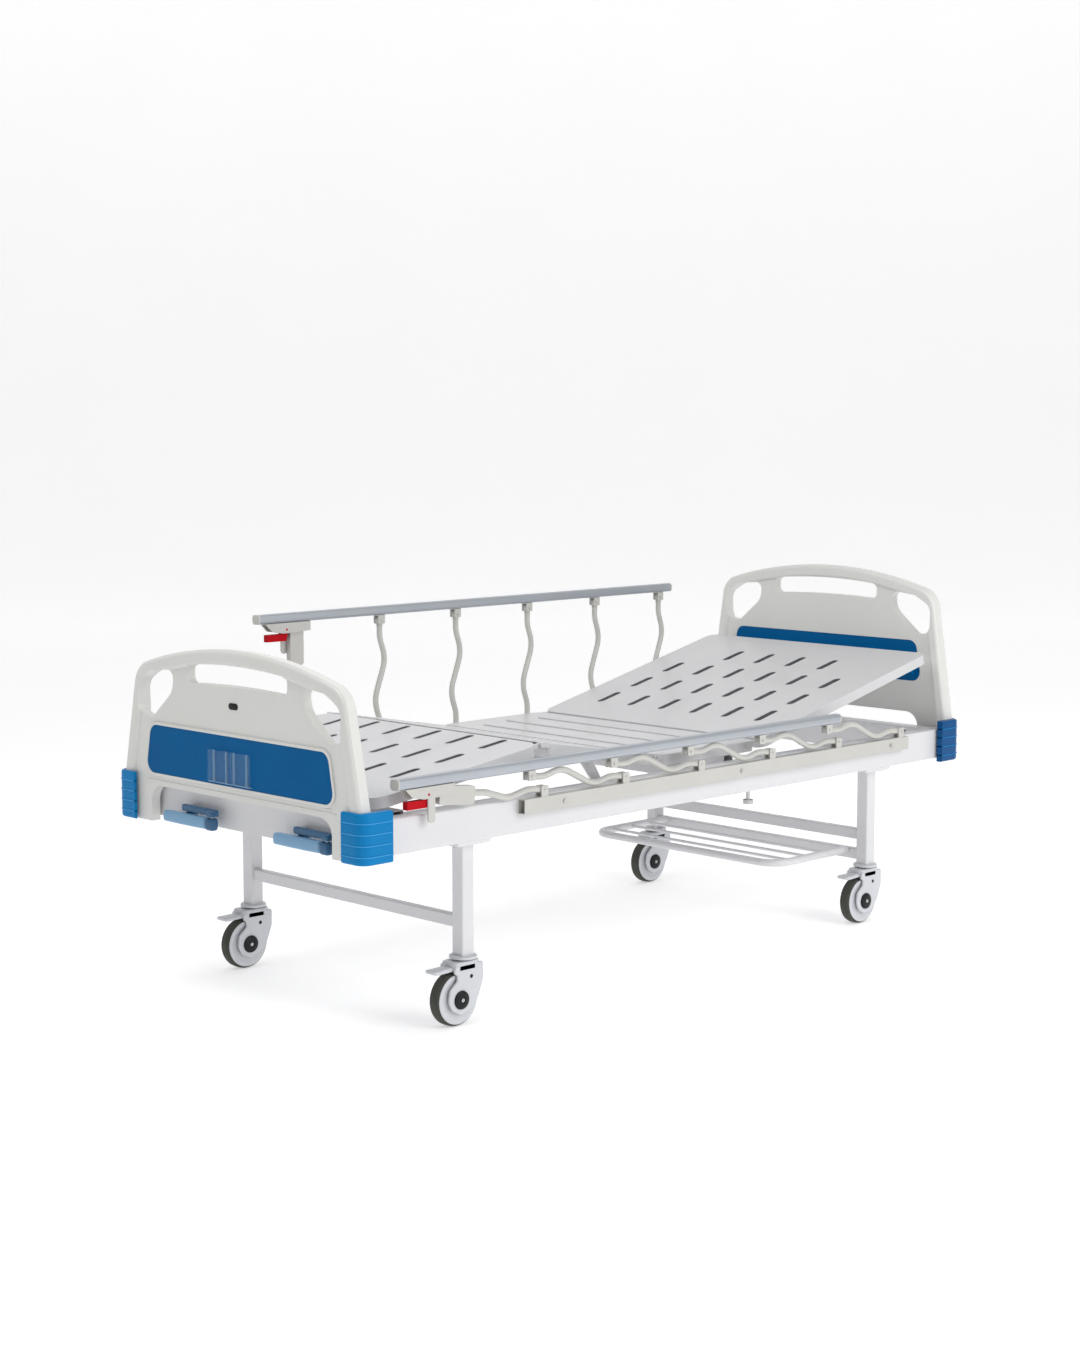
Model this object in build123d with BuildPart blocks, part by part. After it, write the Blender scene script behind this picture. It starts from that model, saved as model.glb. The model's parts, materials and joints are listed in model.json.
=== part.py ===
from build123d import *

import os
from math import asin, cos, degrees, radians, sin, tan

# Adjustable two-crank hospital bed with collapsible side rails, built piece by piece.
# Millimetres. The origin is on the floor at the middle of the bed, +X points to the head end,
# +Y to the far side and +Z up. The near rail is folded down and the far rail is raised, the
# back section is part raised and the knee is slightly raised, which is the rest pose.

os.makedirs("parts", exist_ok=True)

# Driving dimensions of the whole bed
BED_LENGTH = 2170.0  # over the corner bumpers
BED_WIDTH = 900.0  # over the corner bumpers
DECK_TOP = 541.0  # top of a flat platform section
NEAR, FAR = -1, 1  # sign of Y
FOOT, HEAD = -1, 1  # sign of X

# Main frame
BEAM_WIDE, BEAM_TALL, BEAM_WALL = 40.0, 80.0, 2.5
BEAM_TOP, BEAM_OUTER = 501.0, 425.0
BEAM_END = 1034.0
BEAM_MID_Y = BEAM_OUTER - BEAM_WIDE / 2
BEAM_BOTTOM = BEAM_TOP - BEAM_TALL
MEMBER = 36.0  # square tube of the inner cross members
SEAT_MEMBERS_X = (0.0, 170.0)
REST_MEMBERS_X = (-930.0, 900.0)  # under the free ends of the calf and back sections

# Legs and casters
LEG_X = {FOOT: -734.0, HEAD: 746.0}
LEG_Y, LEG_SIZE, LEG_WALL = 382.0, 36.0, 2.0
LEG_BOTTOM, LEG_PLUG, FLANGE = 158.0, 42.0, 8.0
FOOT_BAR_Z, HEAD_BARS_Z = 232.0, (181.0, 236.0)
WHEEL_R, TYRE_WIDE, DISC_R, DISC_WIDE = 62.5, 30.0, 50.0, 34.0
TRAIL = 30.0  # swivel axis to axle
AXLE_R, STEM_R = 5.0, 6.0
RUN = 0.05  # radial clearance of a running fit
OPEN_RUN = 0.3  # radial clearance of a pivot that is left open
PEDAL_X, PEDAL_Z = -40.0, 133.0  # brake pedal pivot from the swivel axis

# End boards
BOARD_OUT, BOARD_IN = 1075.0, 1037.0  # rim faces, |x|
WEB_OUT, WEB_IN = 1068.0, 1044.0  # web faces, |x|
BOARD_TOP = {FOOT: 838.0, HEAD: 931.0}
BOARD_BOTTOM = 413.0
ARCH_TOP = {FOOT: 500.0, HEAD: 535.0}
RIM = 36.0
INLAY = 3.0  # thickness of the coloured panels
BUMPER_TOP, BUMPER_TIP = 525.0, 88.0

# Platform
DECK_HALF, SHEET, SKIRT = 390.0, 2.0, 26.0
AXIS_DROP = 6.0  # hinge axis below the top surface
AXIS_Z = DECK_TOP - AXIS_DROP
DECK_GAP = 8.0  # hinge axis to the edge of a section
EAR_R, PIN_R = 6.0, 3.0
BACK_X, BACK_LENGTH, BACK_TILT = 285.0, 735.0, 13.2
THIGH_X, THIGH_LENGTH, THIGH_TILT = -95.0, 396.0, 10.3
CALF_LENGTH = 520.0
CALF_TILT = degrees(asin(THIGH_LENGTH * sin(radians(THIGH_TILT)) / CALF_LENGTH))
SLOT_LONG, SLOT_WIDE, SLOT_PITCH_X, SLOT_PITCH_Y = 88.0, 24.0, 137.0, 112.6
SLOT_FAR_Y = 2.5 * SLOT_PITCH_Y  # the farthest of six columns of slots

# Cranks and screws
SCREW_Y, SCREW_Z, SCREW_R = 205.0, 448.0, 10.0
ARM_DROP = AXIS_Z - SCREW_Z  # hinge axis to the push tube
GRIP_OFFSET, GRIP_LONG = 105.0, 190.0

# Side rails
RAIL_Y, POST_L, DROP = 436.0, 312.0, 34.0
PIVOT_Z, RAIL_ABOVE, RAIL_TALL, RAIL_WIDE = 516.0, 38.0, 24.0, 28.0
FIRST_PIVOT_X, PIVOT_PITCH, POSTS = -538.0, 270.0, 6
RAIL_BACK, RAIL_LONG = 130.0, 1520.0  # first upper pivot to the rail's foot end, and its length
POST_R, KNUCKLE_R, KNUCKLE_HALF, WAVE = 7.5, 10.0, 6.0, 20.0
NECK = 14.5  # where the round tube starts, clear of the clevis ears all the way round
EAR_IN, EAR_OUT = 6.6, 10.0
CHANNEL_TOP, CHANNEL_TALL, CHANNEL_DEEP = 500.0, 34.0, 22.0
CHANNEL_X = (-603.0, 843.0)


def save(piece, name):
    """Label a finished piece and write it to its STEP file."""
    piece.part.label = name
    export_step(piece.part, f"parts/{name}.step")


def side_plane(x, y, z):
    """A plane that faces +Y, with X to the right and Z up seen from the near side."""
    return Plane(origin=(x, y, z), x_dir=(1, 0, 0), z_dir=(0, -1, 0))


# ---------------------------------------------------------------- main frame
for sign, name in ((NEAR, "near_side_beam"), (FAR, "far_side_beam")):
    with BuildPart() as beam:
        with BuildSketch(Plane.YZ.offset(-BEAM_END)):
            with Locations((sign * BEAM_MID_Y, BEAM_TOP - BEAM_TALL / 2)):
                RectangleRounded(BEAM_WIDE, BEAM_TALL, 4)
                Rectangle(BEAM_WIDE - 2 * BEAM_WALL, BEAM_TALL - 2 * BEAM_WALL, mode=Mode.SUBTRACT)
        extrude(amount=2 * BEAM_END)
    save(beam, name)

INNER_SPAN = 2 * (BEAM_OUTER - BEAM_WIDE)
END_BEAM_X = BEAM_END - BEAM_WIDE / 2
BUSH_R = 13.0
with BuildPart() as members:
    for end in (FOOT, HEAD):
        with BuildSketch(Plane.XZ.offset(-INNER_SPAN / 2)):
            with Locations((end * END_BEAM_X, BEAM_TOP - BEAM_TALL / 2)):
                Rectangle(BEAM_WIDE, BEAM_TALL)
                Rectangle(BEAM_WIDE - 2 * BEAM_WALL, BEAM_TALL - 2 * BEAM_WALL, mode=Mode.SUBTRACT)
        extrude(amount=INNER_SPAN)
    with BuildSketch(Plane.XZ.offset(-INNER_SPAN / 2)):
        seat_z = DECK_TOP - SKIRT - MEMBER / 2
        for x, z in [(x, seat_z) for x in SEAT_MEMBERS_X] + [(x, seat_z - 7) for x in REST_MEMBERS_X]:
            with Locations((x, z)):
                Rectangle(MEMBER, MEMBER)
                Rectangle(MEMBER - 4, MEMBER - 4, mode=Mode.SUBTRACT)
    extrude(amount=INNER_SPAN)
    with Locations(*[(-END_BEAM_X, sign * SCREW_Y, SCREW_Z) for sign in (NEAR, FAR)]):
        Cylinder(BUSH_R + 0.1, BEAM_WIDE + 10, rotation=(0, 90, 0), mode=Mode.SUBTRACT)
save(members, "cross_members")


# ---------------------------------------------------------------- legs and rack
def leg_frame(end, bars):
    """Two square legs with flanges on top and cross bars between them."""
    x = LEG_X[end]
    tube_top = BEAM_BOTTOM - FLANGE
    with BuildPart() as frame:
        for sign in (NEAR, FAR):
            with BuildSketch(Plane.XY.offset(LEG_BOTTOM)):
                with Locations((x, sign * LEG_Y)):
                    RectangleRounded(LEG_SIZE, LEG_SIZE, 4)
            extrude(amount=tube_top - LEG_BOTTOM)
            with BuildSketch(Plane.XY.offset(LEG_BOTTOM + LEG_PLUG)):
                with Locations((x, sign * LEG_Y)):
                    Rectangle(LEG_SIZE - 2 * LEG_WALL, LEG_SIZE - 2 * LEG_WALL)
            extrude(amount=tube_top - LEG_BOTTOM - LEG_PLUG, mode=Mode.SUBTRACT)
            with BuildSketch(Plane.XY.offset(LEG_BOTTOM)):
                with Locations((x, sign * LEG_Y)):
                    Circle(STEM_R + RUN)
            extrude(amount=34, mode=Mode.SUBTRACT)
            with BuildSketch(Plane.XY.offset(tube_top)):
                with Locations((x, sign * (LEG_Y + 6))):
                    RectangleRounded(104, 66, 6)
            extrude(amount=FLANGE)
        for z in bars:
            with BuildSketch(Plane.XZ.offset(-LEG_Y + LEG_SIZE / 2)):
                with Locations((x, z)):
                    RectangleRounded(22, 28, 3)
            extrude(amount=2 * LEG_Y - LEG_SIZE)
    return frame


save(leg_frame(FOOT, (FOOT_BAR_Z,)), "foot_leg_frame")
save(leg_frame(HEAD, HEAD_BARS_Z), "head_leg_frame")

RACK_HALF, RACK_X, RACK_Z, RACK_R = 328.0, 430.0, 190.0, 10.0
RACK_ROOT = LEG_X[HEAD] - 11.0
with BuildPart() as rack:
    with BuildLine():
        FilletPolyline(
            (RACK_ROOT, -RACK_HALF, RACK_Z),
            (RACK_X, -RACK_HALF, RACK_Z),
            (RACK_X, RACK_HALF, RACK_Z),
            (RACK_ROOT, RACK_HALF, RACK_Z),
            radius=55,
        )
    with BuildSketch(Plane(origin=(RACK_ROOT, -RACK_HALF, RACK_Z), z_dir=(-1, 0, 0))):
        Circle(RACK_R)
    sweep()
    with BuildSketch(Plane.XZ.offset(-RACK_HALF)):
        with Locations(*[(x, RACK_Z) for x in (505, 580, 655)]):
            Circle(4)
    extrude(amount=2 * RACK_HALF)
save(rack, "storage_rack")


# ---------------------------------------------------------------- end boards
def board_outline(top):
    """The outline of an end board: a shallow crown, round shoulders and splayed sides."""
    shoulder = top - 61
    knee = BOARD_BOTTOM + 107
    with BuildLine() as line:
        ThreePointArc((-378, shoulder), (0, top), (378, shoulder))
        Polyline((378, shoulder), (430, knee), (430, BOARD_BOTTOM))
        Line((430, BOARD_BOTTOM), (-430, BOARD_BOTTOM))
        Polyline((-430, BOARD_BOTTOM), (-430, knee), (-378, shoulder))
    with BuildSketch() as sketch:
        with BuildLine():
            add(line.line)
        make_face()
        fillet(sketch.vertices().sort_by(Axis.Y)[-2:], 62)
    return sketch.sketch


def corner_hole(top, sign):
    """The rounded corner opening, as a sketch; sign mirrors it."""
    points = ((233, -60), (318, -68), (372, -98), (369, -170), (320, -179), (240, -112))
    radii = (20, 30, 34, 24, 22, 46)
    with BuildSketch() as sketch:
        with BuildLine():
            Polyline(*[(sign * y, top + z) for y, z in points], close=True)
        make_face()
        for (y, z), radius in zip(points, radii):
            corner = sketch.vertices().sort_by_distance(Vector(sign * y, top + z, 0))[0]
            fillet(corner, radius)
    return sketch.sketch


def handle_slot(top):
    """The long hand hole under the crown, its top edge following the crown."""
    with BuildSketch() as sketch:
        with BuildLine():
            ThreePointArc((-183, top - 44), (0, top - RIM + 1), (183, top - 44))
            Line((183, top - 44), (183, top - 88))
            ThreePointArc((183, top - 88), (0, top - 82), (-183, top - 88))
            Line((-183, top - 88), (-183, top - 44))
        make_face()
        fillet(sketch.vertices(), 16)
    return sketch.sketch


def panel_shape(top, grow=0.0):
    """The coloured inlay: a rounded trapezium below the openings."""
    low, high = top - 308, top - 195
    with BuildSketch() as sketch:
        with BuildLine():
            Polyline((-343, low), (343, low), (322, high), (-322, high), close=True)
        make_face()
        fillet(sketch.vertices(), 26)
        if grow:
            offset(amount=grow, mode=Mode.REPLACE)
    return sketch.sketch


def end_board(end):
    """A moulded board: thin web, thick rolled rim, openings and a lip around the inlay."""
    top = BOARD_TOP[end]
    arch = ARCH_TOP[end]
    wall = Plane(origin=(end * WEB_IN, 0, 0), x_dir=(0, 1, 0), z_dir=(1, 0, 0))
    rim_plane = wall.offset(end * (BOARD_IN - WEB_IN))
    with BuildPart() as rim:
        with BuildSketch(rim_plane):
            add(board_outline(top))
            with BuildSketch(mode=Mode.SUBTRACT):
                add(board_outline(top))
                offset(amount=-RIM, mode=Mode.REPLACE)
            with Locations((0, BOARD_BOTTOM)):
                Rectangle(860 - 2 * RIM, 2 * RIM + 60, mode=Mode.SUBTRACT)
        extrude(amount=end * (BOARD_OUT - BOARD_IN))
        long_edges = rim.faces().sort_by(Axis.X)[0].edges() + rim.faces().sort_by(Axis.X)[-1].edges()
        fillet(long_edges, 11)
    with BuildPart() as board:
        with BuildSketch(wall):
            add(board_outline(top))
        extrude(amount=end * (WEB_OUT - WEB_IN))
        add(rim.part)
        for plane, way in ((wall.offset(end * (WEB_OUT - WEB_IN)), end), (wall, -end)):
            with BuildSketch(plane):
                add(panel_shape(top, 7))
                add(panel_shape(top, 0.5), mode=Mode.SUBTRACT)
            extrude(amount=way * 4)
        with BuildSketch(wall.offset(-end * 40)):
            add(handle_slot(top))
            add(corner_hole(top, 1))
            add(corner_hole(top, -1))
        extrude(amount=end * 120, mode=Mode.SUBTRACT)
        with BuildSketch(wall.offset(-end * 40)) as arch_sketch:
            with Locations((0, (BOARD_BOTTOM + arch) / 2 - 20)):
                RectangleRounded(660, arch - BOARD_BOTTOM + 40, 40)
        extrude(amount=end * 120, mode=Mode.SUBTRACT)
    return board


for end, name in ((FOOT, "foot_board"), (HEAD, "head_board")):
    save(end_board(end), name)

with BuildPart() as panels:
    for end in (FOOT, HEAD):
        for face, way in ((WEB_OUT, end), (WEB_IN, -end)):
            with BuildSketch(Plane(origin=(end * face, 0, 0), x_dir=(0, 1, 0), z_dir=(1, 0, 0))):
                add(panel_shape(BOARD_TOP[end]))
            extrude(amount=way * INLAY)
save(panels, "board_panels")

with BuildPart() as bumpers:
    for end in (FOOT, HEAD):
        for sign in (NEAR, FAR):
            tip_x, outer = end * BED_LENGTH / 2, sign * BED_WIDTH / 2
            with BuildSketch(Plane.XY.offset(BOARD_BOTTOM)) as plan:
                with BuildLine():
                    Polyline(
                        (tip_x, sign * 378),
                        (tip_x, outer),
                        (tip_x - end * BUMPER_TIP, outer),
                        (tip_x - end * BUMPER_TIP, sign * 430.5),
                        (end * (BOARD_OUT + 0.5), sign * 430.5),
                        (end * (BOARD_OUT + 0.5), sign * 378),
                        close=True,
                    )
                make_face()
                outer_corner = plan.vertices().sort_by_distance(Vector(tip_x, outer, 0))[0]
                fillet(outer_corner, 26)
            extrude(amount=BUMPER_TOP - BOARD_BOTTOM)
save(bumpers, "corner_bumpers")


# ---------------------------------------------------------------- platform sections
def section_plane(x, z, tilt, way):
    """Plane of a section: origin on its hinge axis, local X running away from it along the deck."""
    run = Vector(way * cos(radians(tilt)), 0, sin(radians(tilt)))
    up = Vector(-way * sin(radians(tilt)), 0, cos(radians(tilt)))
    return Plane(origin=(x, 0, z), x_dir=run, z_dir=up)


def tray(plane, start, stop, corners):
    """A pressed tray with a skirt all round, its top surface AXIS_DROP above the plane."""
    middle, half = (start + stop) / 2, (stop - start) / 2
    with BuildPart() as sheet:
        with BuildSketch(plane.offset(AXIS_DROP)):
            with Locations((middle, 0)):
                RectangleRounded(2 * half, 2 * DECK_HALF, corners)
        extrude(amount=-SKIRT)
        with BuildSketch(plane.offset(AXIS_DROP - SKIRT)):
            with Locations((middle, 0)):
                RectangleRounded(2 * (half - SHEET), 2 * (DECK_HALF - SHEET), corners - SHEET)
        extrude(amount=SKIRT - SHEET, mode=Mode.SUBTRACT)
    return sheet


def ear(plane, low, reach, thick=6.0, hole=PIN_R + RUN):
    """A flat hinge ear on each side, from the axis to reach along the section."""
    with BuildPart() as ears:
        for sign in (NEAR, FAR):
            middle = sign * (low + thick / 2)
            face = Plane(origin=plane.from_local_coords((0, middle, 0)), x_dir=plane.x_dir, z_dir=plane.y_dir)
            with BuildSketch(face.offset(-thick / 2)):
                Circle(EAR_R)
                with Locations((reach / 2, 0)):
                    Rectangle(abs(reach), 2 * AXIS_DROP - 2)
                if hole:
                    Circle(hole, mode=Mode.SUBTRACT)
            extrude(amount=thick)
    return ears


def slot_rows(plane, rows, flip):
    """Cut rows of lengthwise slots; rows gives (distance from the axis, first and last column)."""
    with BuildSketch(plane.offset(AXIS_DROP + 1)) as slots:
        for distance, first, last in rows:
            for column in range(first, last + 1):
                with Locations((distance, flip * (SLOT_FAR_Y - column * SLOT_PITCH_Y))):
                    SlotOverall(SLOT_LONG, SLOT_WIDE)
    extrude(slots.sketch, amount=-SHEET - 2, mode=Mode.SUBTRACT)


def drive_arm(plane, tip_x, tip_z, side):
    """The lever under a section that the push tube moves, on one side of the tube."""
    face = Plane(origin=plane.from_local_coords((0, side, 0)), x_dir=plane.x_dir, z_dir=(0, -1, 0))
    with BuildPart() as arm:
        with BuildSketch(face):
            height = 1 if face.y_dir.dot(plane.z_dir) > 0 else -1
            with BuildLine():
                Polyline(
                    (36, height * (AXIS_DROP - SHEET)),
                    (90, height * (AXIS_DROP - SHEET)),
                    (tip_x + 11, height * (tip_z - 8)),
                    (tip_x - 11, height * (tip_z + 8)),
                    close=True,
                )
            make_face()
        extrude(amount=-6)
    return arm


seat_deck = Plane(origin=(0, 0, AXIS_Z), x_dir=(1, 0, 0), z_dir=(0, 0, 1))
SEAT_FOOT, SEAT_HEAD = THIGH_X + DECK_GAP, BACK_X - DECK_GAP
EAR_OUTER, EAR_INNER = 380.0, 372.0
with BuildPart() as seat:
    add(tray(seat_deck, SEAT_FOOT, SEAT_HEAD, 30).part)
    add(ear(Plane(origin=(BACK_X, 0, AXIS_Z)), EAR_OUTER, -44).part)
    add(ear(Plane(origin=(THIGH_X, 0, AXIS_Z)), EAR_OUTER, 44).part)
save(seat, "seat_section")

ROW_MARGIN = (BACK_LENGTH - 3 * SLOT_PITCH_X) / 2


def four_rows(first):
    """Four rows of slots from the first distance on; the last one leaves out its end columns."""
    return [(first + row * SLOT_PITCH_X, 0 if row < 3 else 1, 5 if row < 3 else 4) for row in range(4)]


back_deck = section_plane(BACK_X, AXIS_Z, BACK_TILT, HEAD)
BACK_SWING = 75.0
with BuildPart() as back:
    add(tray(back_deck, DECK_GAP, BACK_LENGTH, 26).part)
    add(ear(back_deck, EAR_INNER, 44).part)
    slot_rows(back_deck, four_rows(ROW_MARGIN), 1)
    back_swing = radians(BACK_SWING / 2)
    add(drive_arm(back_deck, -ARM_DROP * sin(back_swing), -ARM_DROP * cos(back_swing), SCREW_Y + 25).part)
    for y in (-SLOT_PITCH_Y, SLOT_PITCH_Y):
        with BuildSketch(back_deck.offset(AXIS_DROP - SHEET)):
            with Locations((BACK_LENGTH / 2 + 20, y)):
                Rectangle(BACK_LENGTH - 140, 24)
        extrude(amount=-16)
save(back, "back_section")

thigh_deck = section_plane(THIGH_X, AXIS_Z, THIGH_TILT, FOOT)
knee = thigh_deck.from_local_coords((THIGH_LENGTH, 0, 0))
knee_deck = Plane(origin=knee, x_dir=thigh_deck.x_dir, z_dir=thigh_deck.z_dir)
calf_deck = section_plane(knee.X, knee.Z, -CALF_TILT, FOOT)
CUT_BACK = 18.0  # skirts stop this far from the knee axis, so that the fold can close
KNEE_SWING = 35.0


def clear_knee(plane, centre):
    """Remove the skirt next to the knee axis, leaving the top sheet."""
    with BuildSketch(plane.offset(AXIS_DROP - SHEET)) as strip:
        with Locations((centre, 0)):
            Rectangle(2 * CUT_BACK, 2 * DECK_HALF + 20)
    extrude(strip.sketch, amount=-SKIRT, mode=Mode.SUBTRACT)


with BuildPart() as thigh:
    add(tray(thigh_deck, DECK_GAP, THIGH_LENGTH - DECK_GAP, 30).part)
    clear_knee(thigh_deck, THIGH_LENGTH)
    add(ear(thigh_deck, EAR_INNER, 44).part)
    add(ear(knee_deck, EAR_OUTER, -44, hole=0).part)
    for sign in (NEAR, FAR):
        with BuildSketch(side_plane(knee.X, sign * EAR_OUTER, knee.Z)):
            Circle(PIN_R)
        extrude(amount=sign * 9)
    thigh_swing = radians(KNEE_SWING / 2)
    slot_rows(thigh_deck, [(140, 0, 5), (277, 0, 5)], -1)
    add(drive_arm(thigh_deck, -ARM_DROP * sin(thigh_swing), -ARM_DROP * cos(thigh_swing), SCREW_Y - 25).part)
save(thigh, "thigh_section")

with BuildPart() as calf:
    add(tray(calf_deck, DECK_GAP, CALF_LENGTH, 44).part)
    clear_knee(calf_deck, 0)
    add(ear(calf_deck, EAR_INNER, 44).part)
    slot_rows(calf_deck, four_rows(60), -1)
save(calf, "calf_section")


# ---------------------------------------------------------------- side rails
LEAN = degrees(asin(DROP / POST_L))  # a folded post's angle above the horizontal


def post_plane(x, side):
    """Plane of a post: origin on its lower pivot, local X up the post, local Y its wave."""
    angle = radians(90 if side == FAR else 180 - LEAN)
    along = Vector(cos(angle), 0, sin(angle))
    return Plane(origin=(x, side * RAIL_Y, PIVOT_Z), x_dir=along, z_dir=(0, 1, 0))


def knuckle(plane, distance, hole):
    """A round pivot boss on the post's plane."""
    with BuildPart() as boss:
        with BuildSketch(plane.offset(-KNUCKLE_HALF)):
            with Locations((distance, 0)):
                Circle(KNUCKLE_R)
                Circle(hole, mode=Mode.SUBTRACT)
        extrude(amount=2 * KNUCKLE_HALF)
    return boss


def bent_tube(plane, points):
    """A round tube through the points, with rounded bends, starting along local X."""
    with BuildPart() as tube:
        with BuildLine(plane):
            FilletPolyline(*points, radius=78)
        start = plane.from_local_coords((*points[0], 0))
        with BuildSketch(Plane(origin=start, x_dir=plane.y_dir, z_dir=plane.x_dir)):
            Circle(POST_R)
        sweep()
    return tube


def rail_post(plane):
    """A wavy post with a knuckle at each end."""
    with BuildPart() as post:
        add(
            bent_tube(
                plane,
                ((8, 0), (46, 0), (102, -WAVE), (POST_L - 102, WAVE), (POST_L - 46, 0), (POST_L - 8, 0)),
            ).part
        )
        for distance in (0, POST_L):
            with BuildSketch(plane.offset(-KNUCKLE_HALF - 4)):
                with Locations((distance, 0)):
                    Circle(NECK)
            extrude(amount=2 * KNUCKLE_HALF + 8, mode=Mode.SUBTRACT)
        add(knuckle(plane, 0, PIN_R + RUN).part)
        add(knuckle(plane, POST_L, PIN_R + OPEN_RUN).part)
        for distance in (NECK - 2, POST_L - NECK + 2):
            with BuildSketch(plane.offset(-KNUCKLE_HALF)):
                with Locations((distance, 0)):
                    Rectangle(9, 11)
            extrude(amount=2 * KNUCKLE_HALF)
    return post


SLEEVE_LOW, SLEEVE_HIGH, SLEEVE_HALF = -32.0, 10.5, 8.0


def lock_post(plane):
    """The first post: a bent tube that ends in the flat lock sleeve."""
    sleeve_start = POST_L - 96
    with BuildPart() as post:
        add(bent_tube(plane, ((8, 0), (46, 0), (108, -WAVE), (176, -6), (sleeve_start + 6, -6))).part)
        with BuildSketch(plane.offset(-KNUCKLE_HALF - 4)):
            Circle(NECK)
        extrude(amount=2 * KNUCKLE_HALF + 8, mode=Mode.SUBTRACT)
        with BuildSketch(plane.offset(-SLEEVE_HALF)):
            with Locations(((sleeve_start + POST_L + 9) / 2, (SLEEVE_LOW + SLEEVE_HIGH) / 2)):
                RectangleRounded(105, SLEEVE_HIGH - SLEEVE_LOW, 8)
            with Locations((POST_L, 0)):
                Circle(PIN_R + RUN, mode=Mode.SUBTRACT)
        extrude(amount=2 * SLEEVE_HALF)
        add(knuckle(plane, 0, PIN_R + RUN).part)
        with BuildSketch(plane.offset(-KNUCKLE_HALF)):
            with Locations((NECK - 2, 0)):
                Rectangle(9, 11)
        extrude(amount=2 * KNUCKLE_HALF)
    return post


def clevis(side, x, pivot_z, base_z, base_thick):
    """A pair of ears round a pivot, joined by a base plate; base_z is the far end of the ears."""
    way = 1 if base_z > pivot_z else -1
    low, high = sorted((pivot_z - way * 9, base_z))
    with BuildPart() as bracket:
        for inner in (EAR_IN, -EAR_OUT):
            with BuildSketch(side_plane(x, side * RAIL_Y + inner + EAR_OUT - EAR_IN, pivot_z)):
                with Locations((0, (low + high) / 2 - pivot_z)):
                    RectangleRounded(22, high - low, 3)
                Circle(PIN_R + RUN, mode=Mode.SUBTRACT)
            extrude(amount=EAR_OUT - EAR_IN)
        with Locations((x, side * RAIL_Y, base_z - way * base_thick / 2)):
            Box(22, 2 * EAR_OUT, base_thick)
    return bracket


def pin(x, y, z, half):
    """A plain pivot pin along Y."""
    with BuildPart() as rod:
        with BuildSketch(side_plane(x, y + half, z)):
            Circle(PIN_R)
        extrude(amount=2 * half)
    return rod


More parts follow.
